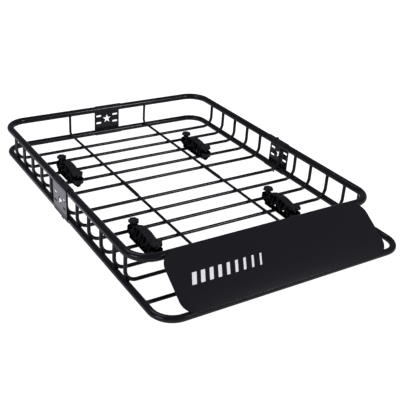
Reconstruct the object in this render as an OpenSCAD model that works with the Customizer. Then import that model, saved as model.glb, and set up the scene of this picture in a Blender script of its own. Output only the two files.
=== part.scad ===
// Roof cargo basket: a welded tube tray with a wind fairing, three star plates
// and four screw clamps that grip the crossbars of a vehicle.
// Front (the fairing) is towards -Y, left is -X, and the lowest bolt end is at z = 0.

/* [Basket] */
// Distance between the centrelines of the side rails
rail_w = 889; // [760:1:1000]
// Length of the bottom rail loop on its centreline
rail_l = 1273; // [1200:1:1400]
// Height of the top rail above the bottom rail, centre to centre
rail_h = 102.7; // [90:0.1:140]
// How far the top rail stops short of the bottom rail at the front
front_step = 156.5; // [120:0.5:200]
// Height of the bottom rail's centre above the ground
rail_z = 26; // [24:0.5:40]
// Bend radius of the top rail's corners, on the centreline
top_bend = 75; // [60:1:100]
// Bend radius of the bottom rail's corners, on the centreline
bottom_bend = 66; // [60:1:100]

/* [Tubes] */
// Outside diameter of the top rail
top_d = 25; // [24:0.5:28]
// Outside diameter of the bottom rail
bottom_d = 22; // [20:0.5:25]
// Outside diameter of the cross bars
bar_d = 12; // [10:0.5:12.5]
// Outside diameter of the long rods
rod_d = 10; // [8:0.5:11]
// Wall of the rails
rail_wall = 1.5; // [1:0.1:2.5]
// Wall of the cross bars and long rods
bar_wall = 1.2; // [0.8:0.1:2]

/* [Floor bars] */
// Number of cross bars in the rear half
rear_bars = 5; // [3:1:5]
// Place of the rearmost cross bar
rear_bar_y = 511.5; // [500:0.5:520]
// Pitch of the rear cross bars
rear_pitch = 90; // [80:0.5:92]
// Number of evenly spaced cross bars in the front half
front_bars = 5; // [3:1:5]
// Place of the first cross bar in front of the middle joint
front_bar_y = 17; // [10:0.5:18]
// Pitch of the front cross bars
front_pitch = 90.7; // [80:0.1:91]
// Place of the foremost bent cross bar
last_bar_y = -418; // [-430:1:-400]
// Place of the straight brace bar under the fairing
brace_y = -533; // [-560:1:-510]
// Height of a cross bar's centre above the bottom rail's centre
bar_rise = 0.9; // [0:0.1:2]
// Bend radius at the ends of a cross bar, on the centreline
bar_bend = 38.6; // [36:0.1:42]
// Distance of each long rod from the middle
rod_x = 172.7; // [120:0.1:220]
// Bend radius at the ends of a long rod, on the centreline
rod_bend = 15.6; // [15:0.1:25]

/* [Middle joint] */
// Where the front and rear rail halves butt together
split_y = 27; // [25:0.5:30]
// Where the joint bolts pass through the rails
joint_bolt_y = 45; // [40:0.5:55]
// Length of the joiner tube on each side of the split
joiner_reach = 50; // [40:1:60]
// Outside diameter of the sleeve that joins a long rod's halves
sleeve_d = 13.2; // [12.5:0.1:14]

/* [Star plates] */
// Width of each plate along its rail
plate_w = 113; // [90:1:125]
// Place of the side plates along the basket
plate_y = 40; // [35:0.5:45]
// Sheet thickness of the plates
plate_t = 2; // [1.5:0.1:3]
// Outer radius of the star
star_r = 20; // [14:0.5:24]
// Length of each slot, end to end
slot_l = 23; // [16:0.5:28]
// Width of each slot
slot_w = 8; // [6:0.5:10]
// Distance between slots along the plate
slot_dx = 75; // [70:0.5:80]
// Distance between slots up the plate
slot_dz = 30.5; // [26:0.5:36]

/* [Fairing] */
// Width of the fairing
fairing_w = 755; // [600:1:780]
// Sheet thickness of the fairing
fairing_t = 2; // [1.5:0.1:3]
// How far the fairing runs past each rail
fairing_over = 4; // [2:0.5:8]
// Radius of the fairing's upper corners
fairing_r_top = 52; // [20:1:60]
// Radius of the fairing's lower corners
fairing_r_bottom = 46; // [20:1:60]

/* [Clamps] */
// Distance between a clamp's two bolts
bolt_span = 155; // [150:0.5:156]
// Diameter of the clamp bolts
clamp_bolt_d = 6; // [5:0.5:6]
// Width of the saddle
saddle_w = 46; // [40:0.5:50]
// Width of the band along the saddle's back
band_w = 31; // [20:0.5:40]
// Height of the saddle's arch above its lugs
arch_rise = 24; // [16:0.5:28]
// Radius of the lugs around the bolts
lug_r = 20; // [18:0.5:21]
// Outer radius of a knob over its lobes
knob_r = 18.5; // [16:0.5:19]
// Number of lobes on a knob
knob_lobes = 7; // [5:1:9]
// Width of the strap under the bars
strap_w = 16; // [12:0.5:20]

/* [Hidden] */
$fn = 64;
top_r = top_d / 2;
bottom_r = bottom_d / 2;
bar_r = bar_d / 2;
rod_r = rod_d / 2;
rail_x = rail_w / 2;
half_l = rail_l / 2;
top_z = rail_z + rail_h;
bar_z = rail_z + bar_rise;
rod_z = bar_z + bar_r + rod_r;
top_front_y = -half_l + front_step;
gap = 0.3;

// Cross bar places, rear to front, then the foremost one
bar_ys = concat(
    [for (i = [0 : rear_bars - 1]) rear_bar_y - i * rear_pitch],
    [for (i = [0 : front_bars - 1]) front_bar_y - i * front_pitch],
    [last_bar_y]
);
bar_count = len(bar_ys);

// Clamp heights, measured from the top of the cross bars
seat_z = bar_z + bar_r + gap;
lug_top = rail_z + 24;
slot_top = rail_z + 14.6;
collar_bottom = lug_top + 1.5;
collar_r = 4.4;
hub_bottom = lug_top + 9;
head_bottom = lug_top + 14;
knob_top = rail_z + 50;
foot_z = rail_z - 3.5;
foot_half = 60;
web_half = 8;
arch_half = bolt_span / 2;
arch_radius = (pow(arch_half, 2) + pow(arch_rise, 2)) / (2 * arch_rise);
body_half = bolt_span / 2 - 9;
yoke_half = 5;
yoke_top = rail_z + 14;
yoke_tip = rail_z - 9;
strap_t = 3.5;
strap_end_z = rail_z - 7;
strap_dip = 3.5;
strap_half = bolt_span / 2 - yoke_half;
strap_radius = (pow(strap_half, 2) + pow(strap_dip, 2)) / (2 * strap_dip);
pad_t = 1.6;
pad_half = 32;

// Clamp names and places: front left, front right, rear left, rear right
CLAMPS = ["fl", "fr", "rl", "rr"];
CLAMP_PIECES = ["saddle", "jaw", "bolts", "pad", "knob_a", "knob_b", "collar_a", "collar_b"];
front_clamp_y = front_bar_y - 3 * front_pitch;
clamp_at = [[-295, front_clamp_y], [243, front_clamp_y], [-318, 295], [236, 303]];

// Fairing plane: tangent to the front of both rails
slope_l = sqrt(pow(front_step, 2) + pow(rail_h, 2));
slope_turn = asin((top_r - bottom_r) / slope_l);
slope_angle = atan2(rail_h, front_step) + slope_turn;
slope_top = slope_l * cos(slope_turn);
clip_x = 230;
clip_w = 22;
clip_t = 3;

BASKET_NODES = [
    "top_rail_rear", "top_rail_front", "bottom_rail_rear", "bottom_rail_front",
    "rod_left", "rod_right", "rod_sleeves", "brace_bar", "rail_joiners",
    "plate_left", "plate_right", "plate_rear", "plate_bolts", "plate_nuts",
    "fairing", "fairing_clips"
];
BAR_NODES = [for (i = [1 : bar_count]) str("cross_bar_", i)];

// ---- Tubes ----

// A round bar along Y from y0 to y1
module bar_y(r, y0, y1) {
    translate([0, min(y0, y1), 0])
        rotate([-90, 0, 0])
            cylinder(r = r, h = abs(y1 - y0));
}

// A round bar along X, centred
module bar_x(r, length) {
    rotate([0, 90, 0])
        cylinder(r = r, h = length, center = true);
}

// A quarter bend about +Z, from the given start angle
module bend_z(r, bend, start) {
    rotate([0, 0, start])
        rotate_extrude(angle = 90)
            translate([bend, 0])
                circle(r = r);
}

// Half a rail loop as a solid: two legs from y0, two corners and the end run at y1
module rail_solid(r, y0, y1, bend, z) {
    way = sign(y1 - y0);
    for (side = [-1, 1]) {
        translate([side * rail_x, 0, z])
            bar_y(r, y0, y1 - way * bend);
        translate([side * (rail_x - bend), y1 - way * bend, z])
            bend_z(r, bend, way > 0 ? 45 - side * 45 : 225 + side * 45);
    }
    translate([0, y1, z])
        bar_x(r, 2 * (rail_x - bend));
}

// Upright bolt hole through a side rail's joint
module joint_bolt_holes(z) {
    for (side = [-1, 1])
        translate([side * rail_x, joint_bolt_y, z])
            cylinder(r = 3.2, h = 40, center = true);
}

module rail(r, y0, y1, bend, z) {
    difference() {
        rail_solid(r, y0, y1, bend, z);
        rail_solid(r - rail_wall, y0 - sign(y1 - y0), y1, bend, z);
        joint_bolt_holes(z);
    }
}

module top_rail_rear() {
    color("#1d1c20")
        rail(top_r, split_y, half_l, top_bend, top_z);
}

module top_rail_front() {
    color("#1d1c20")
        rail(top_r, split_y, top_front_y, top_bend, top_z);
}

module bottom_rail_rear() {
    color("#1d1c20")
        rail(bottom_r, split_y, half_l, bottom_bend, rail_z);
}

module bottom_rail_front() {
    color("#1d1c20")
        rail(bottom_r, split_y, -half_l, bottom_bend, rail_z);
}

// Inner tubes that carry the middle joint, one in each side rail
module rail_joiners() {
    color("#8a8c90")
        for (side = [-1, 1])
            for (leg = [[top_r, top_z], [bottom_r, rail_z]])
                joiner(side, leg[0] - rail_wall - 0.05, leg[1]);
}

module joiner(side, r, z) {
    difference() {
        translate([side * rail_x, 0, z])
            bar_y(r, split_y - joiner_reach, split_y + joiner_reach);
        translate([side * rail_x, 0, z])
            bar_y(r - rail_wall, split_y - joiner_reach - 1, split_y + joiner_reach + 1);
        joint_bolt_holes(z);
    }
}

// ---- Floor bars ----

// A cross bar as a solid: floor run, two bends and two uprights
module cross_bar_solid(r) {
    translate([0, 0, bar_z])
        bar_x(r, 2 * (rail_x - bar_bend));
    for (side = [-1, 1]) {
        translate([side * (rail_x - bar_bend), 0, bar_z + bar_bend])
            rotate([90, 0, 0])
                bend_z(r, bar_bend, side > 0 ? 270 : 180);
        translate([side * rail_x, 0, bar_z + bar_bend])
            cylinder(r = r, h = top_z - bar_z - bar_bend);
    }
}

module cross_bar(i) {
    y = bar_ys[i - 1];
    way = i > rear_bars ? -1 : 1;
    rail_end = i > rear_bars ? top_front_y : half_l;
    color("#1b1a1e")
        difference() {
            translate([0, y, 0])
                cross_bar_solid(bar_r);
            translate([0, y, 0])
                cross_bar_solid(bar_r - bar_wall);
            rail_solid(top_r, split_y - way * 80, rail_end, top_bend, top_z);
        }
}

// Straight bar between the bottom side rails, under the fairing
module brace_bar() {
    color("#1b1a1e")
        difference() {
            translate([0, brace_y, rail_z])
                bar_x(bar_r, rail_w);
            translate([0, brace_y, rail_z])
                bar_x(bar_r - bar_wall, rail_w + 2);
            for (side = [-1, 1])
                translate([side * rail_x, 0, rail_z])
                    bar_y(bottom_r, brace_y - 20, brace_y + 20);
        }
}

// A long rod's half as a solid: floor run, bend and upright at y1
module rod_half_solid(r, y0, y1) {
    way = sign(y1 - y0);
    translate([0, 0, rod_z])
        bar_y(r, y0, y1 - way * rod_bend);
    translate([0, y1 - way * rod_bend, rod_z + rod_bend])
        rotate([90, 0, 90])
            bend_z(r, rod_bend, way > 0 ? 270 : 180);
    translate([0, y1, rod_z + rod_bend])
        cylinder(r = r, h = top_z - rod_z - rod_bend);
}

module long_rod(side) {
    color("#1b1a1e")
        difference() {
            translate([side * rod_x, 0, 0])
                for (end = [half_l, top_front_y])
                    rod_half_solid(rod_r, rod_middle + sign(end) * gap / 2, end);
            translate([side * rod_x, 0, 0])
                for (end = [half_l, top_front_y])
                    rod_half_solid(rod_r - bar_wall, rod_middle - sign(end), end);
            for (end = [half_l, top_front_y])
                translate([side * rod_x, end, top_z])
                    bar_x(top_r, 40);
        }
}

// The rod's halves meet inside a sleeve between the two middle cross bars
sleeve_rear = bar_ys[rear_bars - 1] - bar_r - gap;
sleeve_front = bar_ys[rear_bars] + bar_r + 6;
rod_middle = (sleeve_rear + sleeve_front) / 2;

module rod_sleeves() {
    color("#1b1a1e")
        for (side = [-1, 1])
            translate([side * rod_x, 0, rod_z])
                difference() {
                    bar_y(sleeve_d / 2, sleeve_front, sleeve_rear);
                    bar_y(rod_r, sleeve_front - 1, sleeve_rear + 1);
                }
}

// ---- Star plates ----

// One point of the star, as a slim triangle on a pentagon's side
module star(r) {
    inner = r * cos(72) / cos(36);
    polygon([
        for (i = [0 : 9])
            let (a = 90 + i * 36, q = i % 2 == 0 ? r : inner)
                [q * cos(a), q * sin(a)]
    ]);
}

module slot(length, width) {
    square([length - width, width], center = true);
    for (s = [-1, 1])
        translate([s * (length - width) / 2, 0])
            circle(d = width);
}

// Section of a plate, outward to +x: wrap over the top rail, sheet, wrap under the bottom rail
module plate_section() {
    difference() {
        union() {
            translate([0, rail_h])
                circle(r = top_r + plate_t);
            circle(r = bottom_r + plate_t);
            polygon([
                [0, 0],
                [bottom_r + plate_t, 0],
                [top_r + plate_t, rail_h],
                [0, rail_h]
            ]);
        }
        translate([0, rail_h])
            circle(r = top_r);
        circle(r = bottom_r);
        polygon([
            [-2 * top_r, 0],
            [bottom_r, 0],
            [top_r, rail_h],
            [-2 * top_r, rail_h]
        ]);
    }
}

// A plate on a rail along Y, with its outer face towards +X
module star_plate() {
    mid = rail_h / 2;
    difference() {
        rotate([90, 0, 0])
            linear_extrude(plate_w, center = true)
                plate_section();
        translate([0, 0, mid])
            rotate([90, 0, 90])
                linear_extrude(40) {
                    star(star_r);
                    for (sx = [-1, 1])
                        for (sz = [-1, 1])
                            translate([sx * slot_dx / 2, sz * slot_dz / 2])
                                slot(slot_l, slot_w);
                }
    }
}

// A star plate with its pair of bolt holes off centre
module bolted_plate() {
    difference() {
        star_plate();
        for (z = [0, rail_h])
            translate([0, joint_bolt_y - plate_y, z])
                cylinder(r = 3.2, h = 40, center = true);
    }
}

module plate_left() {
    color("#35343b")
        translate([-rail_x, plate_y, rail_z])
            mirror([1, 0, 0])
                bolted_plate();
}

module plate_right() {
    color("#1d1c20")
        translate([rail_x, plate_y, rail_z])
            bolted_plate();
}

module plate_rear() {
    color("#1d1c20")
        translate([0, half_l, rail_z])
            rotate([0, 0, 90])
                star_plate();
}

// Places of the upright plate bolts
bolt_places = [[-rail_x, joint_bolt_y], [rail_x, joint_bolt_y]];

// A button-head bolt: shank from z0 up to z1, head above
module button_bolt(z0, z1) {
    translate([0, 0, z0])
        cylinder(r = 3, h = z1 - z0 + 1);
    translate([0, 0, z1])
        cylinder(r = 6.5, h = 2);
    translate([0, 0, z1 + 2])
        cylinder(r1 = 6.5, r2 = 4, h = 2.2);
}

module plate_bolts() {
    color("#2a2a2d")
        for (p = bolt_places)
            translate([p[0], p[1], 0]) {
                button_bolt(top_z - top_r - 7, top_z + top_r + plate_t);
                button_bolt(0, rail_z + bottom_r);
            }
}

module hex_nut(h) {
    difference() {
        cylinder(r = 7.5, h = h, $fn = 6);
        translate([0, 0, -1])
            cylinder(r = 3, h = h + 2);
    }
}

module plate_nuts() {
    color("#2a2a2d")
        for (p = bolt_places)
            translate([p[0], p[1], 0]) {
                translate([0, 0, top_z - top_r - 5])
                    hex_nut(5);
                translate([0, 0, rail_z - bottom_r - plate_t - 5])
                    hex_nut(5);
            }
}

// ---- Fairing ----

// Moves its children into the fairing's plane: +Y up the slope, +Z out of its face
module on_slope() {
    translate([0, -half_l, rail_z])
        rotate([slope_angle, 0, 0])
            children();
}

module fairing_outline() {
    y0 = -fairing_over;
    y1 = slope_top + fairing_over;
    xb = fairing_w / 2 - fairing_r_bottom;
    xt = fairing_w / 2 - fairing_r_top;
    for (s = [-1, 1]) {
        translate([s * xb, y0 + fairing_r_bottom])
            circle(r = fairing_r_bottom);
        translate([s * xt, y1 - fairing_r_top])
            circle(r = fairing_r_top);
    }
    translate([-fairing_w / 2, y0 + fairing_r_bottom])
        square([fairing_w, y1 - y0 - fairing_r_bottom - fairing_r_top]);
    translate([-xb, y0])
        square([2 * xb, fairing_r_bottom]);
    translate([-xt, y1 - fairing_r_top])
        square([2 * xt, fairing_r_top]);
}

module fairing() {
    color("#24242b")
        on_slope()
            translate([0, 0, bottom_r + gap])
                linear_extrude(fairing_t)
                    fairing_outline();
}

// Clips behind the fairing that snap round the rails
module fairing_clips() {
    color("#161618")
        on_slope()
            for (side = [-1, 1]) {
                translate([side * clip_x, 0, 0])
                    clip(bottom_r);
                translate([side * clip_x, slope_top, bottom_r - top_r])
                    rotate([0, 0, 180])
                        clip(top_r);
            }
}

// A hook round a rail along X, open downhill and cut flat against the sheet
module clip(r) {
    difference() {
        bar_x(r + clip_t, clip_w);
        bar_x(r, clip_w + 2);
        translate([-clip_w, -2 * r, r + gap])
            cube([2 * clip_w, 4 * r, clip_t + 2]);
        translate([-clip_w, -2 * r, -2 * r])
            cube([2 * clip_w, 2 * r - 3, 4 * r]);
    }
}

// ---- Clamps ----
// Each clamp is drawn about its own middle: bolts at y = +-bolt_span / 2.

// Side view of the saddle's body, y across and z up
module arch_outline() {
    intersection() {
        translate([0, lug_top + arch_rise - arch_radius])
            circle(r = arch_radius, $fn = 180);
        translate([-body_half, seat_z])
            square([2 * body_half, 60]);
    }
}

// The arch outline made smaller by t on its curved side and at its ends
module arch_inside(t) {
    intersection() {
        translate([0, lug_top + arch_rise - arch_radius])
            circle(r = arch_radius - t, $fn = 180);
        translate([-body_half + t, seat_z - 1])
            square([2 * (body_half - t), 60]);
    }
}

// Ribs of the saddle's sides: uprights with a diagonal in each bay
module truss_ribs() {
    bays = 6;
    bay = 2 * body_half / bays;
    rib = 2.6;
    for (i = [0 : bays])
        translate([-body_half + i * bay - rib / 2, seat_z])
            square([rib, 60]);
    for (i = [0 : bays - 1])
        translate([-body_half + (i + 0.5) * bay, seat_z + 15])
            rotate(i % 2 == 0 ? 52 : -52)
                square([56, rib], center = true);
}

// Lower chord of a side: a strip above the cross bars with teeth that hang between them
module foot_chord(cy) {
    translate([-body_half, seat_z])
        square([2 * body_half, 3.5]);
    difference() {
        translate([-foot_half, foot_z])
            square([2 * foot_half, seat_z - foot_z + 1]);
        for (y = bar_ys)
            translate([y - cy - bar_r - 0.7, foot_z - 1])
                square([2 * bar_r + 1.4, seat_z - foot_z + 1]);
    }
}

// Prism that leans the saddle's sides in from the feet to the band
module side_taper() {
    half = saddle_w / 2;
    rotate([90, 0, 0])
        linear_extrude(2 * body_half + 2, center = true)
            polygon([
                [-half, foot_z - 1],
                [half, foot_z - 1],
                [half, seat_z + 3.5],
                [band_w / 2, lug_top + arch_rise - 2],
                [band_w / 2, lug_top + arch_rise + 1],
                [-band_w / 2, lug_top + arch_rise + 1],
                [-band_w / 2, lug_top + arch_rise - 2],
                [-half, seat_z + 3.5]
            ]);
}

// Turns a y-z drawing into a slab from x0 to x1
module slab(x0, x1) {
    translate([x0, 0, 0])
        rotate([90, 0, 90])
            linear_extrude(x1 - x0)
                children();
}

module saddle_body(cy) {
    half = saddle_w / 2;
    slab(-band_w / 2, band_w / 2)
        difference() {
            arch_outline();
            arch_inside(4);
        }
    slab(-web_half, web_half)
        difference() {
            arch_outline();
            translate([-body_half + 6, seat_z - 1])
                square([2 * body_half - 12, 8]);
        }
    intersection() {
        slab(-half, half)
            intersection() {
                arch_outline();
                truss_ribs();
            }
        side_taper();
    }
    for (s = [-1, 1])
        slab(s > 0 ? half - 6 : -half, s > 0 ? half : -half + 6)
            foot_chord(cy);
}

// Lug round a bolt, with a slot under it that takes the jaw's yoke
module saddle_lug(s) {
    difference() {
        union() {
            translate([0, s * arch_half, seat_z])
                cylinder(r = lug_r, h = lug_top - seat_z);
            translate([-lug_r, s > 0 ? body_half - 2 : -arch_half, seat_z])
                cube([2 * lug_r, arch_half - body_half + 2, lug_top - seat_z]);
        }
        translate([-lug_r - 5, s * arch_half - yoke_half - 1, seat_z - 1])
            cube([2 * lug_r + 10, 2 * yoke_half + 2, slot_top - seat_z + 1]);
        translate([0, s * arch_half, seat_z])
            cylinder(r = clamp_bolt_d / 2 + 0.5, h = 30);
    }
    translate([0, s * arch_half, lug_top])
        difference() {
            cylinder(r = lug_r - 6, h = 1.2);
            translate([0, 0, -1])
                cylinder(r = clamp_bolt_d / 2 + 0.5, h = 4);
        }
}

module saddle(cy) {
    color("#1a1a1d") {
        saddle_body(cy);
        for (s = [-1, 1])
            saddle_lug(s);
    }
}

// Yoke at each end of the jaw: a V-shaped block round the bolt
module yoke(s) {
    translate([0, s * arch_half + yoke_half, 0])
        rotate([90, 0, 0])
            linear_extrude(2 * yoke_half)
                polygon([
                    [-lug_r, yoke_top],
                    [-lug_r, yoke_top - 4],
                    [-5.5, yoke_tip],
                    [5.5, yoke_tip],
                    [lug_r, yoke_top - 4],
                    [lug_r, yoke_top]
                ]);
}

// A dished strip along Y: its upper face dips to the given depth at the middle
module dished_strip(width, half, thickness, drop) {
    centre_z = strap_end_z - strap_dip + strap_radius;
    r_top = strap_radius - strap_t / 2 + drop;
    slab(-width / 2, width / 2)
        intersection() {
            difference() {
                translate([0, centre_z])
                    circle(r = r_top + thickness, $fn = 180);
                translate([0, centre_z])
                    circle(r = r_top, $fn = 180);
            }
            translate([-half, 0])
                square([2 * half, strap_end_z + 6]);
        }
}

module jaw() {
    color("#1a1a1d")
        difference() {
            union() {
                dished_strip(strap_w, strap_half + 1, strap_t, 0);
                for (s = [-1, 1])
                    yoke(s);
            }
            for (s = [-1, 1])
                translate([0, s * arch_half, yoke_tip - 1])
                    cylinder(r = clamp_bolt_d / 2, h = 40);
        }
}

// Rubber strip bonded to the strap's upper face
module pad() {
    color("#0e0e10")
        dished_strip(strap_w, pad_half, pad_t, -pad_t);
}

// The two carriage bolts held by the jaw
module bolts() {
    color("#9a9ca0")
        for (s = [-1, 1])
            translate([0, s * arch_half, 0]) {
                translate([0, 0, yoke_tip - 3])
                    cylinder(r1 = 3.5, r2 = 5.5, h = 3);
                translate([0, 0, yoke_tip - 1])
                    cylinder(r = clamp_bolt_d / 2, h = knob_top - 3 - yoke_tip + 1);
            }
}

// Lobed hand knob with a conical hub and a blind bore
module knob() {
    color("#19191c")
        difference() {
            union() {
                translate([0, 0, hub_bottom])
                    cylinder(r1 = 10.2, r2 = 12.8, h = head_bottom - hub_bottom + 1);
                translate([0, 0, head_bottom]) {
                    cylinder(r = knob_r - 4, h = knob_top - head_bottom);
                    for (i = [0 : knob_lobes - 1])
                        rotate([0, 0, i * 360 / knob_lobes])
                            translate([knob_r - 4.5, 0, 0])
                                cylinder(r = 4.5, h = knob_top - head_bottom - 1.5);
                }
            }
            translate([0, 0, hub_bottom - 1])
                cylinder(r = collar_r, h = 9.5);
            translate([0, 0, hub_bottom - 1])
                cylinder(r = clamp_bolt_d / 2 + 0.4, h = knob_top - hub_bottom - 1);
        }
}

// Threaded steel collar pressed into the knob, which bears on the lug
module collar() {
    color("#a8aaae")
        difference() {
            translate([0, 0, collar_bottom])
                cylinder(r = collar_r, h = hub_bottom + 8.5 - collar_bottom);
            translate([0, 0, collar_bottom - 1])
                cylinder(r = clamp_bolt_d / 2 + 0.05, h = 20);
        }
}

module clamp_piece(name, cy) {
    if (name == "saddle") saddle(cy);
    if (name == "jaw") jaw();
    if (name == "bolts") bolts();
    if (name == "pad") pad();
    if (name == "knob_a") translate([0, arch_half, 0]) knob();
    if (name == "knob_b") translate([0, -arch_half, 0]) knob();
    if (name == "collar_a") translate([0, arch_half, 0]) collar();
    if (name == "collar_b") translate([0, -arch_half, 0]) collar();
}

// ---- Nodes ----

top_rail_rear();
top_rail_front();
bottom_rail_rear();
bottom_rail_front();
long_rod(-1);  // rod_left
long_rod(1);  // rod_right
rod_sleeves();
brace_bar();
rail_joiners();
plate_left();
plate_right();
plate_rear();
plate_bolts();
plate_nuts();
fairing();
fairing_clips();
for (i = [1 : bar_count])
    cross_bar(i);
for (c = [0 : 3])
    for (p = CLAMP_PIECES)
        translate([clamp_at[c][0], clamp_at[c][1], 0])
                clamp_piece(p, clamp_at[c][1]);
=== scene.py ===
import math

import bmesh
import bpy
from mathutils import Matrix, Vector


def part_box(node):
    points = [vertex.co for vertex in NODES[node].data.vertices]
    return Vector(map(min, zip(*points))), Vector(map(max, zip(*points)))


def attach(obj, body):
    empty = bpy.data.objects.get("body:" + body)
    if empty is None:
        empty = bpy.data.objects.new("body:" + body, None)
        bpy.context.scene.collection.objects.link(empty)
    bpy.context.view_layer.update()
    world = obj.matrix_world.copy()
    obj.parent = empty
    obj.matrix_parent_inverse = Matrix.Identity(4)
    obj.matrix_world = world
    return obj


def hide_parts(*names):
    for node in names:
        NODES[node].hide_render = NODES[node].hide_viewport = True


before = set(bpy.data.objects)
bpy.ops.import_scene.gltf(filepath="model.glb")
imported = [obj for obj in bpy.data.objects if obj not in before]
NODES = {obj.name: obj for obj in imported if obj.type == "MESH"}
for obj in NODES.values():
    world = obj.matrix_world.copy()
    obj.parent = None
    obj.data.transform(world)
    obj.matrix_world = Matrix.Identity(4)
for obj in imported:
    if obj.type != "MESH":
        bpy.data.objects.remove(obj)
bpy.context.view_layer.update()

MM = 0.001
TAU = 2 * math.pi
CLAMPS = ("fl", "fr", "rl", "rr")

# Rounded copies: how close points count as one (m), and the edge angles that matter (degrees)
SAME_POINT = 3e-6
FLAT_WITHIN = 0.4
ROUNDED_ABOVE = 38.0

# Fasteners, in mm
M6_R = 3.0
HEAD_R = 6.5
SOCKET = 4.0
NUT_FLATS = 12.96
NUT_HEIGHT = 5.0
NUT_BORE = 2.8

# Hand knobs, in mm
LOBES = 7
LOBE_R = 4.1
LOBE_REACH = 14.0
KNOB_BODY_R = 13.6
KNOB_HEAD = 12.0
KNOB_BORE = 4.45
KNOB_BORE_DEPTH = 8.0


# ---- Camera, at the photograph's viewing angle ----

def add_camera(position, forward, up, lens, shift_x, shift_y):
    data = bpy.data.cameras.new("camera")
    data.lens = lens
    data.sensor_width = 36.0
    data.shift_x = shift_x
    data.shift_y = shift_y
    data.clip_start = 0.05
    data.clip_end = 200.0
    camera = bpy.data.objects.new("camera", data)
    forward = Vector(forward).normalized()
    right = forward.cross(Vector(up)).normalized()
    turn = Matrix((right, right.cross(forward), -forward)).transposed().to_4x4()
    camera.matrix_world = Matrix.Translation(position) @ turn
    bpy.context.scene.collection.objects.link(camera)
    bpy.context.scene.camera = camera


add_camera(
    position=(-1.2179, -1.9325, 1.1939),
    forward=(0.47505, 0.75445, -0.45291),
    up=(0.19186, 0.41351, 0.89006),
    lens=63.78, shift_x=0.0415, shift_y=-0.0245,
)


# ---- Materials ----

class Nodes:
    """A material's node tree, with short ways to add and join nodes."""

    def __init__(self, name):
        self.material = bpy.data.materials.new(name)
        self.material.use_nodes = True
        self.tree = self.material.node_tree
        self.shader = self.tree.nodes["Principled BSDF"]
        place = self.tree.nodes.new("ShaderNodeTexCoord")
        self.place = place.outputs["Object"]

    def link(self, source, target):
        self.tree.links.new(source, target)

    def constant(self, **values):
        for key, value in values.items():
            self.shader.inputs[key.replace("_", " ")].default_value = value

    def noise(self, scale, detail=3.0, roughness=0.55, stretch=None):
        node = self.tree.nodes.new("ShaderNodeTexNoise")
        node.inputs["Scale"].default_value = scale
        node.inputs["Detail"].default_value = detail
        node.inputs["Roughness"].default_value = roughness
        vector = self.place
        if stretch:
            mapping = self.tree.nodes.new("ShaderNodeMapping")
            mapping.inputs["Scale"].default_value = stretch
            self.link(self.place, mapping.inputs["Vector"])
            vector = mapping.outputs["Vector"]
        self.link(vector, node.inputs["Vector"])
        return node.outputs["Fac"]

    def cells(self, scale):
        node = self.tree.nodes.new("ShaderNodeTexVoronoi")
        node.inputs["Scale"].default_value = scale
        self.link(self.place, node.inputs["Vector"])
        return node.outputs["Distance"]

    def ramp(self, value, low, high, colour_low, colour_high):
        node = self.tree.nodes.new("ShaderNodeValToRGB")
        for stop, place, colour in zip(node.color_ramp.elements, (low, high), (colour_low, colour_high)):
            stop.position = place
            stop.color = (*colour, 1.0)
        self.link(value, node.inputs["Fac"])
        return node.outputs["Color"]

    def span(self, value, low, high, to_low, to_high):
        node = self.tree.nodes.new("ShaderNodeMapRange")
        for key, number in zip(("From Min", "From Max", "To Min", "To Max"), (low, high, to_low, to_high)):
            node.inputs[key].default_value = number
        self.link(value, node.inputs["Value"])
        return node.outputs["Result"]

    def edge(self):
        """The edge attribute that soft_copy() writes: 1 on a rounded edge, 0 on a face; the materials paint
        a highlight where it is 1.
        """
        node = self.tree.nodes.new("ShaderNodeAttribute")
        node.attribute_name = "edge"
        return node.outputs["Fac"]

    def mix(self, factor, a, b, share=1.0):
        node = self.tree.nodes.new("ShaderNodeMix")
        node.data_type = "RGBA"
        node.clamp_factor = True
        self.link(self.span(factor, 0.0, 1.0, 0.0, share), node.inputs[0])
        self.link(a, node.inputs[6])
        if isinstance(b, tuple):
            node.inputs[7].default_value = (*b, 1.0)
        else:
            self.link(b, node.inputs[7])
        return node.outputs[2]

    def bumps(self, *layers):
        """Each layer is (height, strength, distance in mm)."""
        normal = None
        for height, strength, distance in layers:
            node = self.tree.nodes.new("ShaderNodeBump")
            node.inputs["Strength"].default_value = strength
            node.inputs["Distance"].default_value = distance * MM
            self.link(height, node.inputs["Height"])
            if normal:
                self.link(normal, node.inputs["Normal"])
            normal = node.outputs["Normal"]
        self.link(normal, self.shader.inputs["Normal"])


def powder_coat():
    n = Nodes("black_powder_coat")
    cloud = n.noise(14.0, 2.0)
    peel = n.noise(620.0, 2.0, 0.4)
    grain = n.noise(2600.0, 2.0)
    colour = n.ramp(cloud, 0.3, 0.72, (0.0085, 0.0082, 0.0105), (0.0125, 0.012, 0.0155))
    # Lighter along rounded edges (edge attribute): a painted highlight.
    n.link(n.mix(n.edge(), colour, (0.035, 0.034, 0.040), 0.6), n.shader.inputs["Base Color"])
    n.link(n.span(n.noise(48.0, 4.0), 0.3, 0.7, 0.17, 0.23), n.shader.inputs["Roughness"])
    n.bumps((peel, 0.3, 0.04), (grain, 0.2, 0.01))
    n.constant(IOR=1.5, Specular_IOR_Level=0.42)
    return n.material


def fairing_sheet():
    n = Nodes("fairing_sheet")
    wave = n.noise(9.0, 1.0)
    peel = n.noise(420.0, 2.0, 0.4)
    scuff = n.noise(130.0, 5.0, 0.7, stretch=(0.12, 1.0, 1.0))
    colour = n.ramp(wave, 0.3, 0.7, (0.0046, 0.0045, 0.0066), (0.0058, 0.0057, 0.0084))
    # Lighter along rounded edges (edge attribute): a painted highlight.
    n.link(n.mix(n.edge(), colour, (0.04, 0.039, 0.046), 0.6), n.shader.inputs["Base Color"])
    n.link(n.span(scuff, 0.35, 0.75, 0.23, 0.255), n.shader.inputs["Roughness"])
    n.bumps((wave, 0.25, 0.5), (peel, 0.3, 0.04))
    n.constant(IOR=1.5, Specular_IOR_Level=0.16)
    return n.material


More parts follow.
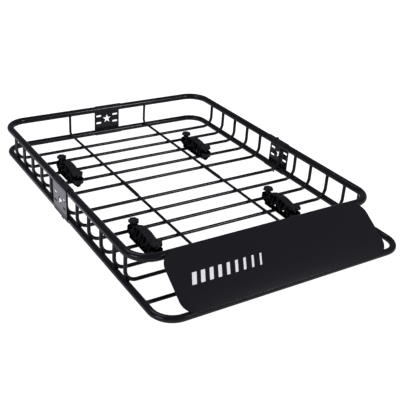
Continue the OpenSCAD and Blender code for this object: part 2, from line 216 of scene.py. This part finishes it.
def nylon(name, dark, light, rough_low, rough_high):
    n = Nodes(name)
    fibre = n.noise(240.0, 4.0, 0.65, stretch=(1.0, 0.3, 1.0))
    spark = n.cells(1100.0)
    colour = n.ramp(fibre, 0.32, 0.7, dark, light)
    # Lighter along rounded edges (edge attribute): a painted highlight.
    n.link(n.mix(n.edge(), colour, (0.055, 0.053, 0.062), 0.55), n.shader.inputs["Base Color"])
    n.link(n.span(n.noise(90.0, 3.0), 0.3, 0.7, rough_low, rough_high), n.shader.inputs["Roughness"])
    n.bumps((spark, 0.4, 0.05), (fibre, 0.2, 0.05))
    n.constant(IOR=1.53)
    return n.material


def rubber():
    n = Nodes("rubber_pad")
    speck = n.noise(900.0, 4.0, 0.7)
    colour = n.ramp(speck, 0.3, 0.7, (0.006, 0.006, 0.007), (0.016, 0.016, 0.018))
    n.link(colour, n.shader.inputs["Base Color"])
    n.link(n.span(speck, 0.3, 0.7, 0.72, 0.9), n.shader.inputs["Roughness"])
    n.bumps((speck, 0.5, 0.08))
    n.constant(Specular_IOR_Level=0.35)
    return n.material


def steel(name, dark, light, rough_low, rough_high, stretch):
    n = Nodes(name)
    streak = n.noise(380.0, 4.0, 0.6, stretch=stretch)
    cloud = n.noise(70.0, 3.0)
    n.link(n.ramp(cloud, 0.3, 0.7, dark, light), n.shader.inputs["Base Color"])
    n.link(n.span(streak, 0.3, 0.7, rough_low, rough_high), n.shader.inputs["Roughness"])
    n.bumps((streak, 0.3, 0.02))
    n.constant(Metallic=1.0)
    return n.material


def print_ink_painted_glow():
    n = Nodes("printed_white_painted_glow")
    speck = n.noise(700.0, 4.0, 0.7)
    white = n.ramp(speck, 0.3, 0.75, (0.76, 0.76, 0.77), (0.88, 0.88, 0.89))
    n.link(white, n.shader.inputs["Base Color"])
    # Painted glow: the white print also emits light at Emission Strength 0.5, though it is no lamp.
    n.link(white, n.shader.inputs["Emission Color"])
    n.constant(Emission_Strength=0.5)
    n.link(n.span(speck, 0.3, 0.7, 0.42, 0.6), n.shader.inputs["Roughness"])
    n.bumps((speck, 0.3, 0.02))
    return n.material


FINISH = {
    "black_powder_coat": powder_coat(),
    "fairing_sheet": fairing_sheet(),
    "black_nylon": nylon("black_nylon", (0.038, 0.0362, 0.0455), (0.054, 0.0517, 0.0645), 0.40, 0.54),
    "knob_plastic": nylon("knob_plastic", (0.0095, 0.0092, 0.011), (0.016, 0.0155, 0.0185), 0.34, 0.46),
    "rubber_pad": rubber(),
    "zinc_steel": steel("zinc_steel", (0.48, 0.49, 0.51), (0.66, 0.67, 0.69), 0.24, 0.42, (1.0, 1.0, 0.2)),
    "black_steel": steel("black_steel", (0.035, 0.035, 0.040), (0.075, 0.074, 0.080), 0.34, 0.52, None),
    "bare_steel": steel("bare_steel", (0.36, 0.36, 0.37), (0.52, 0.52, 0.53), 0.28, 0.46, (1.0, 0.1, 1.0)),
}
WHITE_INK_PAINTED_GLOW = print_ink_painted_glow()


def slot_of(node):
    """The record's material slot for a CAD node, by its name."""
    tail = node[3:] if node[:2] in CLAMPS and node[2] == "_" else node
    if tail in ("saddle", "jaw", "fairing_clips"):
        return "black_nylon"
    if tail.startswith("knob"):
        return "knob_plastic"
    if tail.startswith("collar") or tail == "bolts":
        return "zinc_steel"
    if tail == "pad":
        return "rubber_pad"
    if tail == "fairing":
        return "fairing_sheet"
    if tail in ("plate_bolts", "plate_nuts"):
        return "black_steel"
    return "bare_steel" if tail == "rail_joiners" else "black_powder_coat"


for node, thing in NODES.items():
    thing.data.materials.clear()
    thing.data.materials.append(FINISH[slot_of(node)])


# ---- Mesh helpers ----

def finish_piece(bm, name, slot, body, replaces=(), material=None, sharp=35.0):
    """Turns a bmesh into a piece that rides on a body, with its slot's material or the material given."""
    bmesh.ops.recalc_face_normals(bm, faces=bm.faces)
    mesh = bpy.data.meshes.new(name)
    bm.to_mesh(mesh)
    bm.free()
    if "custom_normal" in mesh.attributes:
        mesh.attributes.remove(mesh.attributes["custom_normal"])
    mesh.shade_smooth()
    mesh.set_sharp_from_angle(angle=math.radians(sharp))
    mesh.materials.append(material or FINISH[slot])
    piece = bpy.data.objects.new(name, mesh)
    bpy.context.scene.collection.objects.link(piece)
    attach(piece, body)
    if replaces:
        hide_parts(*replaces)


def ring_faces(bm, low, high):
    for i in range(len(low)):
        j = (i + 1) % len(low)
        bm.faces.new((low[i], low[j], high[j], high[i]))


def polar(bm, centre, rings, count, cap=(True, True)):
    """A closed shape about an upright axis. Each ring is (z, radius as a function of the angle)."""
    loops = []
    for z, radius in rings:
        loop = []
        for i in range(count):
            a = TAU * i / count
            r = radius(a) if callable(radius) else radius
            loop.append(bm.verts.new(Vector(centre) + Vector((r * math.cos(a), r * math.sin(a), z)) * MM))
        loops.append(loop)
    for low, high in zip(loops, loops[1:]):
        ring_faces(bm, low, high)
    for wanted, loop in zip(cap, (loops[0], loops[-1])):
        if wanted:
            middle = sum((v.co for v in loop), Vector()) / count
            hub = bm.verts.new(middle)
            for i in range(count):
                bm.faces.new((loop[i], loop[(i + 1) % count], hub))
    return loops


def bead(bm, points, radius, pitch=1.7, sides=7):
    """A closed weld bead along points, in mm, rippled as the weld was laid."""
    count = len(points)
    travelled = 0.0
    loops = []
    for i, point in enumerate(points):
        before, after = points[i - 1], points[(i + 1) % count]
        along = (after - before).normalized()
        travelled += (after - point).length
        side = along.cross(Vector((0.31, 0.17, 0.93))).normalized()
        other = along.cross(side)
        swell = radius * (1.0 + 0.16 * math.sin(TAU * travelled / pitch))
        spokes = [
            side * math.cos(TAU * k / sides) + other * math.sin(TAU * k / sides) for k in range(sides)
        ]
        loops.append([bm.verts.new((point + spoke * swell) * MM) for spoke in spokes])
    for i in range(count):
        near, far = loops[i], loops[(i + 1) % count]
        shift = min(range(sides), key=lambda s: sum(
            (near[k].co - far[(k + s) % sides].co).length for k in range(sides)
        ))
        for k in range(sides):
            after, beyond = (k + 1) % sides, (k + shift) % sides
            bm.faces.new((near[k], near[after], far[(k + 1 + shift) % sides], far[beyond]))


def drop_inner_walls(bm):
    """Deletes walls of no thickness inside a solid: faces back to back on an edge that others share."""
    walls = set()
    for edge in bm.edges:
        if len(edge.link_faces) > 2:
            for face in edge.link_faces:
                if any(face.normal.dot(other.normal) < -0.999 for other in edge.link_faces):
                    walls.add(face)
    bmesh.ops.delete(bm, geom=list(walls), context="FACES")


def soft_copy(node, name, width, body, segments=2):
    """A copy of a CAD node with its sharp edges rounded, which stands for it."""
    bm = bmesh.new()
    bm.from_mesh(NODES[node].data)
    bmesh.ops.remove_doubles(bm, verts=bm.verts, dist=SAME_POINT)
    drop_inner_walls(bm)
    bmesh.ops.dissolve_limit(bm, angle_limit=math.radians(FLAT_WITHIN), verts=bm.verts, edges=bm.edges)
    least = math.radians(ROUNDED_ABOVE)
    edges = [e for e in bm.edges if len(e.link_faces) == 2 and e.calc_face_angle(0.0) > least]
    made = bmesh.ops.bevel(
        bm, geom=edges, offset=width * MM, offset_type="OFFSET", segments=segments,
        profile=0.5, affect="EDGES", clamp_overlap=True,
    )
    # Marks the vertices of the rounded edges; the materials lighten them there as a painted highlight.
    layer = bm.verts.layers.float.new("edge")
    for face in made["faces"]:
        for vert in face.verts:
            vert[layer] = 1.0
    bmesh.ops.dissolve_degenerate(bm, dist=1e-7, edges=bm.edges)
    bmesh.ops.triangulate(bm, faces=[f for f in bm.faces if len(f.verts) > 4])
    finish_piece(bm, name, slot_of(node), body, replaces=(node,), sharp=18.0)


# ---- Sizes that the detail follows, in mm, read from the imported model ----

def box_mm(node):
    low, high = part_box(node)
    return low / MM, high / MM


top_low, top_high = box_mm("top_rail_rear")
bottom_low, bottom_high = box_mm("bottom_rail_rear")
TOP_R = (top_high.z - top_low.z) / 2
TOP_Z = (top_high.z + top_low.z) / 2
RAIL_X = top_high.x - TOP_R
REAR_Y = top_high.y - TOP_R
FRONT_Y = box_mm("top_rail_front")[0].y + TOP_R
BOTTOM_R = (bottom_high.z - bottom_low.z) / 2
BOTTOM_Z = (bottom_high.z + bottom_low.z) / 2
BARS = []
for index in range(1, 12):
    low, high = box_mm(f"cross_bar_{index}")
    BARS.append((low.y + high.y) / 2)
BAR_R = (high.y - low.y) / 2
BAR_Z = box_mm("cross_bar_1")[0].z + BAR_R
BAR_BEND = 38.6
brace_low, brace_high = box_mm("brace_bar")
BRACE_Y = (brace_low.y + brace_high.y) / 2
rod_low, rod_high = box_mm("rod_right")
ROD_X = (rod_low.x + rod_high.x) / 2
ROD_R = (rod_high.x - rod_low.x) / 2
ROD_Z = rod_low.z + ROD_R
ROD_BEND = 15.6


# ---- Welds ----

def saddle_ring(centre, axis, side, toward, small, large, count=64, lift=0.15):
    """Where a bar of radius small, running along toward, ends on a tube of radius large along axis."""
    points = []
    for i in range(count):
        a = TAU * i / count
        across, along = small * math.cos(a), small * math.sin(a)
        depth = math.sqrt(large ** 2 - across ** 2) + lift
        points.append(centre + side * across + axis * along + toward * depth)
    return points


def crossing_ring(touch, out, upper, lower, r_upper, r_lower, gap, count=52):
    """A ring round the place where two crossing bars touch; out points from the lower to the upper."""
    a, b = math.sqrt(2 * r_upper * gap), math.sqrt(2 * r_lower * gap)
    points = []
    for i in range(count):
        t = TAU * i / count
        u, v = a * math.cos(t), b * math.sin(t)
        points.append(
            touch + lower * u + upper * v + out * (u * u / (4 * r_upper) - v * v / (4 * r_lower))
        )
    return points


X, Y, Z = Vector((1, 0, 0)), Vector((0, 1, 0)), Vector((0, 0, 1))


def add_welds():
    bm = bmesh.new()
    for y in BARS:
        for s in (-1, 1):
            bar = Vector((s * RAIL_X, y, TOP_Z))
            bead(bm, saddle_ring(bar, Y, X, -Z, BAR_R, TOP_R), 1.25)
            bend = Vector((s * (RAIL_X - BAR_BEND), y, BAR_Z + BAR_BEND))
            out = (bend - Vector((s * RAIL_X, y, BOTTOM_Z))).normalized()
            touch = Vector((s * RAIL_X, y, BOTTOM_Z)) + out * BOTTOM_R
            bead(bm, crossing_ring(touch, out, Y.cross(out), Y, BAR_R, BOTTOM_R, 2.2), 1.7)
            rod = Vector((s * ROD_X, y, BAR_Z + BAR_R))
            bead(bm, crossing_ring(rod, Z, Y, X, ROD_R, BAR_R, 1.5), 1.15)
    for s in (-1, 1):
        for y in (REAR_Y, FRONT_Y):
            bead(bm, saddle_ring(Vector((s * ROD_X, y, TOP_Z)), X, Y, -Z, ROD_R, TOP_R), 1.2)
        bend = Vector((s * ROD_X, REAR_Y - ROD_BEND, ROD_Z + ROD_BEND))
        rail = Vector((s * ROD_X, REAR_Y, BOTTOM_Z))
        out = (bend - rail).normalized()
        bead(bm, crossing_ring(rail + out * BOTTOM_R, out, X.cross(out), X, ROD_R, BOTTOM_R, 1.8), 1.4)
        brace = Vector((s * RAIL_X, BRACE_Y, BOTTOM_Z))
        bead(bm, saddle_ring(brace, Y, Z, X * -s, BAR_R, BOTTOM_R), 1.25)
    finish_piece(bm, "weld_beads", "black_powder_coat", "basket", sharp=80.0)


add_welds()


# ---- Plates, fairing and clips with rounded edges ----

for plate in ("plate_left", "plate_right", "plate_rear"):
    soft_copy(plate, plate + "_shell", 0.45, "basket")
soft_copy("fairing", "fairing_shell", 0.85, "basket", segments=3)
soft_copy("fairing_clips", "fairing_clips_moulded", 0.5, "basket")
for clamp in CLAMPS:
    soft_copy(clamp + "_saddle", clamp + "_saddle_moulded", 0.55, clamp + "_clamp")
    soft_copy(clamp + "_jaw", clamp + "_jaw_moulded", 0.5, clamp + "_lower_jaw")


# ---- Printed stripes on the fairing, in place of lettering ----

def fairing_frame():
    """The fairing's own axes: the middle of its lower edge, up the slope, and out of its face."""
    faces = [(p.area, p.normal.copy(), p.center.copy()) for p in NODES["fairing"].data.polygons]
    normal = max(faces, key=lambda f: f[0] * (f[1].z > 0))[1]
    up = X.cross(normal).normalized()
    if up.z < 0:
        up.negate()
    verts = [v.co / MM for v in NODES["fairing"].data.vertices]
    out = max(v.dot(normal) for v in verts)
    rise = min(v.dot(up) for v in verts), max(v.dot(up) for v in verts)
    base = normal * out + up * rise[0]
    return base, up, normal, rise[1] - rise[0]


def add_stripes():
    base, up, normal, height = fairing_frame()
    bm = bmesh.new()
    count, first, pitch = 9, -320.0, 29.0
    low, high, lean = height * 0.405, height * 0.585, 15.0
    for i in range(count):
        wide = 15.0 - 1.05 * i
        x = first + i * pitch
        corners = [(x, low), (x + wide, low), (x + wide + lean, high), (x + lean, high)]
        rounds = []
        for k, (cx, cy) in enumerate(corners):
            here = Vector((cx, cy))
            before = (Vector(corners[k - 1]) - here).normalized()
            after = (Vector(corners[(k + 1) % 4]) - here).normalized()
            rounds += [here + before * 1.2, here + (before + after) * 0.35, here + after * 1.2]
        lower, upper = [
            [bm.verts.new((base + X * p.x + up * p.y + normal * lift) * MM) for p in rounds]
            for lift in (-0.05, 0.09)
        ]
        ring_faces(bm, lower, upper)
        bm.faces.new(lower)
        bm.faces.new(upper)
    bmesh.ops.triangulate(bm, faces=[f for f in bm.faces if len(f.verts) > 4])
    finish_piece(bm, "printed_stripes", "fairing_sheet", "basket", material=WHITE_INK_PAINTED_GLOW)


add_stripes()


# ---- Bolts and nuts ----

def hexagon(flats, phase=0.0):
    """Radius of a hexagon of the given width across flats, as a function of the angle."""
    return lambda a: flats / 2 / math.cos((a - phase + math.pi / 6) % (math.pi / 3) - math.pi / 6)


def smaller(shape, limit):
    return lambda a: min(shape(a), limit)


def thread(bm, centre, radius, z0, z1, pitch=1.0, depth=0.32, count=20, steps=5):
    """A screw thread from z0 to z1."""
    rings = [(z0, radius - depth)]
    total = int((z1 - z0 - 1.0) / pitch * steps)
    for j in range(total + 1):
        z = z0 + 0.5 + j * pitch / steps

        def crest(a, z=z):
            phase = (z / pitch - a / TAU) % 1.0
            return radius - depth * min(1.0, abs(2 * phase - 1) * 1.25)

        rings.append((z, crest))
    rings.append((z1, radius - depth))
    polar(bm, centre, rings, count)


def button_head(bm, centre, z, radius, height, socket):
    """A domed head with a hexagon socket, standing on z."""
    rings = [(z, radius - 0.3), (z + 0.25, radius), (z + height * 0.34, radius)]
    for i in range(1, 6):
        a = math.pi / 2 * i / 5
        inward = (radius - socket * 0.72) * (1 - math.cos(a))
        rings.append((z + height * (0.34 + 0.66 * math.sin(a)), radius - inward))
    hole = hexagon(socket)
    top = z + height
    rings += [(top, lambda a: hole(a) + 0.25), (top - 0.25, hole), (top - height * 0.55, hole)]
    rings.append((top - height * 0.7, socket * 0.2))
    polar(bm, centre, rings, 48)


def hex_nut(bm, centre, z, flats, height, bore):
    shape = hexagon(flats, 0.3)
    edge = flats / 2 * 1.06
    corner = smaller(shape, flats)
    rings = [
        (z, bore), (z, edge), (z + 0.55, corner), (z + height - 0.55, corner),
        (z + height, edge), (z + height, bore),
    ]
    loops = polar(bm, centre, rings, 48, cap=(False, False))
    ring_faces(bm, loops[-1], loops[0])


def add_plate_bolts():
    """Two upright bolts through each side plate's wraps, and their nuts below."""
    bolts, nuts = bmesh.new(), bmesh.new()
    bolt_low, bolt_high = box_mm("plate_bolts")
    left = [v.co / MM for v in NODES["plate_bolts"].data.vertices if v.co.x < -0.2]
    joint_y = (min(v.y for v in left) + max(v.y for v in left)) / 2
    sheet = box_mm("plate_left")[1].z - (TOP_Z + TOP_R)
    head = bolt_high.z - (TOP_Z + TOP_R + sheet)
    for x, y in ((-RAIL_X, joint_y), (RAIL_X, joint_y)):
        place = Vector((x, y, 0)) * MM
        for z0, seat, rail_low in (
            (TOP_Z - TOP_R - 7, TOP_Z + TOP_R + sheet, TOP_Z - TOP_R),
            (bolt_low.z, BOTTOM_Z + BOTTOM_R, BOTTOM_Z - BOTTOM_R - sheet),
        ):
            button_head(bolts, place, seat, HEAD_R, head, SOCKET)
            thread(bolts, place, M6_R, z0, rail_low + 1.0)
            hex_nut(nuts, place, rail_low - NUT_HEIGHT, NUT_FLATS, NUT_HEIGHT, NUT_BORE)
    for bm, name, node, sharp in (
        (bolts, "plate_screws", "plate_bolts", 45.0), (nuts, "plate_hex_nuts", "plate_nuts", 30.0)
    ):
        finish_piece(bm, name, "black_steel", "basket", replaces=(node,), sharp=sharp)


add_plate_bolts()


# ---- Clamps ----

def knob_radius(a):
    """Radius of a lobed knob at an angle, blended where a lobe leaves the body."""
    step = TAU / LOBES
    blend = 0.9
    off = (a + step / 2) % step - step / 2
    inside = LOBE_R ** 2 - (LOBE_REACH * math.sin(off)) ** 2
    lobe = LOBE_REACH * math.cos(off) + math.sqrt(inside) if inside > 0 else 0.0
    if lobe:
        return blend * math.log(math.exp(lobe / blend) + math.exp(KNOB_BODY_R / blend))
    return KNOB_BODY_R + blend * math.exp(-KNOB_BODY_R / blend)


def add_knob(name, node, body):
    """A lobed hand knob: fluted hub, rounded head, and a dished top with a raised button."""
    low, high = box_mm(node)
    centre = Vector(((low.x + high.x) / 2, (low.y + high.y) / 2, 0)) * MM
    head, top = high.z - KNOB_HEAD, high.z

    def inset(t):
        return lambda a: knob_radius(a) - t

    def fluted(r):
        return lambda a: r + 0.3 * math.cos(14 * a)

    rings = [(low.z, KNOB_BORE), (low.z, 9.7), (low.z + 0.5, 10.2), (low.z + 1.4, fluted(10.5))]
    rings += [(head - 1.2, fluted(12.2)), (head - 0.3, 12.6), (head, 12.9)]
    rings += [(head + 0.02, inset(1.5)), (head + 0.45, inset(0.55)), (head + 1.4, inset(0.05))]
    rings += [(head + 5.0, inset(0.0)), (top - 3.4, inset(0.1)), (top - 2.4, inset(0.6))]
    rings += [(top - 1.7, inset(1.5)), (top - 1.45, inset(2.6))]
    rings += [(top - 1.2, smaller(inset(3.4), 13.2)), (top - 0.3, 12.4)]
    rings += [(top, 11.6), (top, 10.2), (top - 0.35, 9.6), (top - 1.7, 9.2), (top - 1.9, 8.6)]
    rings += [(top - 1.9, 5.2), (top - 1.6, 4.8), (top - 0.9, 4.5), (top - 0.7, 4.0)]
    bm = bmesh.new()
    loops = polar(bm, centre, rings, 112, cap=(False, True))
    bore = [(low.z, KNOB_BORE), (low.z + KNOB_BORE_DEPTH, KNOB_BORE)]
    inner = polar(bm, centre, bore, 112, cap=(False, True))
    bmesh.ops.remove_doubles(bm, verts=loops[0] + inner[0], dist=1e-6)
    finish_piece(bm, name, "knob_plastic", body, replaces=(node,), sharp=38.0)


def add_collar(name, node, body):
    """A turned steel collar with a groove and chamfered ends."""
    low, high = box_mm(node)
    centre = Vector(((low.x + high.x) / 2, (low.y + high.y) / 2, 0)) * MM
    r, z = (high.x - low.x) / 2, low.z
    rings = [
        (z, 3.1), (z, r - 0.5), (z + 0.4, r - 0.05), (z + 1.7, r - 0.05), (z + 1.9, r - 0.45),
        (z + 2.5, r - 0.45), (z + 2.7, r - 0.05), (high.z, r - 0.05), (high.z, 3.1),
    ]
    bm = bmesh.new()
    loops = polar(bm, centre, rings, 48, cap=(False, False))
    ring_faces(bm, loops[-1], loops[0])
    finish_piece(bm, name, "zinc_steel", body, replaces=(node,), sharp=32.0)


def add_bolts(clamp):
    """The jaw's two carriage bolts: domed head below the yoke, thread above it."""
    low, high = box_mm(clamp + "_bolts")
    x, r = (low.x + high.x) / 2, M6_R
    head_r = (high.x - low.x) / 2
    bm = bmesh.new()
    for y in (low.y + head_r, high.y - head_r):
        place = Vector((x, y, 0)) * MM
        z = low.z
        rings = [(z, 1.6), (z + 0.3, 2.9), (z + 1.0, 4.0), (z + 2.0, 5.0), (z + 3.0, head_r)]
        rings += [(z + 3.2, head_r), (z + 3.2, r - 0.2), (z + 8.0, r - 0.2)]
        polar(bm, place, rings, 36)
        thread(bm, place, r, z + 7.8, high.z)
    finish_piece(
        bm, clamp + "_bolts_threaded", "zinc_steel", clamp + "_lower_jaw",
        replaces=(clamp + "_bolts",), sharp=60.0,
    )


def add_pad(clamp):
    """The ribbed rubber strip on the jaw's strap."""
    low, high = box_mm(clamp + "_pad")
    verts = [v.co / MM for v in NODES[clamp + "_pad"].data.vertices]
    middle_y = (low.y + high.y) / 2
    half_y = (high.y - low.y) / 2
    dip_low = min(v.z for v in verts)
    end_low = min(v.z for v in verts if abs(v.y - middle_y) > half_y - 0.2)
    thick = high.z - end_low
    bm = bmesh.new()
    steps = int(2 * half_y / 0.5)
    rows = []
    for i in range(steps + 1):
        y = -half_y + 2 * half_y * i / steps
        base = dip_low + (end_low - dip_low) * (y / half_y) ** 2
        rib = thick - 0.55 * (0.5 - 0.5 * math.cos(TAU * y / 4.0)) ** 2
        rows.append([
            bm.verts.new(Vector((px, middle_y + y, base + pz)) * MM)
            for px, pz in (
                (low.x, 0.0), (low.x, rib - 0.35), (low.x + 0.4, rib), (high.x - 0.4, rib),
                (high.x, rib - 0.35), (high.x, 0.0),
            )
        ])
    for near, far in zip(rows, rows[1:]):
        ring_faces(bm, near, far)
    bm.faces.new(rows[0])
    bm.faces.new(rows[-1])
    finish_piece(
        bm, clamp + "_pad_ribbed", "rubber_pad", clamp + "_lower_jaw",
        replaces=(clamp + "_pad",), sharp=50.0,
    )


for clamp in CLAMPS:
    soft_copy(clamp + "_saddle", clamp + "_saddle_moulded", 0.7, clamp + "_clamp")
    soft_copy(clamp + "_jaw", clamp + "_jaw_moulded", 0.6, clamp + "_lower_jaw")
    for side, body in (("a", "rear"), ("b", "front")):
        ride_on = f"{clamp}_knob_{body}"
        add_knob(f"{clamp}_hand_knob_{body}", f"{clamp}_knob_{side}", ride_on)
        add_collar(f"{clamp}_collar_{body}", f"{clamp}_collar_{side}", ride_on)
    add_bolts(clamp)
    add_pad(clamp)


# ---- Floor, world and lights ----

def add_floor():
    bm = bmesh.new()
    bmesh.ops.create_grid(bm, x_segments=8, y_segments=8, size=45.0)
    mesh = bpy.data.meshes.new("floor")
    bm.to_mesh(mesh)
    bm.free()
    n = Nodes("pale_floor")
    tone = n.noise(0.8, 2.0)
    n.link(n.ramp(tone, 0.3, 0.7, (0.80, 0.80, 0.805), (0.82, 0.82, 0.825)), n.shader.inputs["Base Color"])
    n.constant(Roughness=0.9, Specular_IOR_Level=0.0)
    n.shader.inputs["Emission Color"].default_value = (1.0, 1.0, 1.0, 1.0)
    path = n.tree.nodes.new("ShaderNodeLightPath")
    n.link(n.span(path.outputs["Is Camera Ray"], 0.0, 1.0, 0.18, 0.95), n.shader.inputs["Emission Strength"])
    mesh.materials.append(n.material)
    floor = bpy.data.objects.new("floor", mesh)
    bpy.context.scene.collection.objects.link(floor)


def add_world(light, seen):
    """Even light from all round; the camera sees a pale backdrop."""
    world = bpy.data.worlds.new("studio")
    world.use_nodes = True
    tree = world.node_tree
    tree.nodes.clear()
    out = tree.nodes.new("ShaderNodeOutputWorld")
    mix = tree.nodes.new("ShaderNodeMixShader")
    path = tree.nodes.new("ShaderNodeLightPath")
    tree.links.new(path.outputs["Is Camera Ray"], mix.inputs[0])
    for slot, (colour, strength) in enumerate((light, seen)):
        back = tree.nodes.new("ShaderNodeBackground")
        back.inputs["Color"].default_value = (*colour, 1.0)
        back.inputs["Strength"].default_value = strength
        tree.links.new(back.outputs[0], mix.inputs[1 + slot])
    tree.links.new(mix.outputs[0], out.inputs["Surface"])
    bpy.context.scene.world = world


def add_softbox(name, toward, distance, size, radiance, colour=(1.0, 1.0, 1.0)):
    """A square softbox seen from the object in the given direction, facing it."""
    data = bpy.data.lights.new(name, "AREA")
    data.shape = "RECTANGLE"
    data.size, data.size_y = size
    data.color = colour
    data.energy = radiance * math.pi * size[0] * size[1]
    lamp = bpy.data.objects.new(name, data)
    way = Vector(toward).normalized()
    lamp.location = way * distance
    lamp.rotation_mode = "QUATERNION"
    lamp.rotation_quaternion = way.to_track_quat("Z", "Y")
    bpy.context.scene.collection.objects.link(lamp)


def add_floor_card(place, size, radiance):
    """A glowing card flat on the floor, which only reflections and bounced light see."""
    data = bpy.data.lights.new("floor_card", "AREA")
    data.shape = "RECTANGLE"
    data.size, data.size_y = size
    data.color = (1.0, 0.97, 1.08)
    data.energy = radiance * math.pi * size[0] * size[1]
    lamp = bpy.data.objects.new("floor_card", data)
    lamp.location = place
    lamp.rotation_euler = (math.pi, 0.0, 0.0)
    lamp.visible_camera = False
    bpy.context.scene.collection.objects.link(lamp)


add_floor()
add_floor_card((-0.62, 0.24, 0.004), (0.28, 0.5), 0.8)
add_world(light=((0.94, 0.92, 1.08), 0.14), seen=((1.0, 1.0, 1.0), 1.0))
add_softbox("key", (0.47, -0.72, 0.51), 4.0, (0.7, 0.65), 20.0, (1.0, 0.99, 1.02))
add_softbox("left", (-1.0, -0.35, 0.42), 3.8, (1.5, 1.2), 3.0, (0.97, 0.95, 1.08))
add_softbox("overhead", (-0.2, 0.35, 1.0), 3.6, (1.6, 1.6), 1.7, (0.96, 0.95, 1.08))
bpy.context.scene.view_settings.view_transform = "Standard"
bpy.context.scene.view_settings.look = "None"
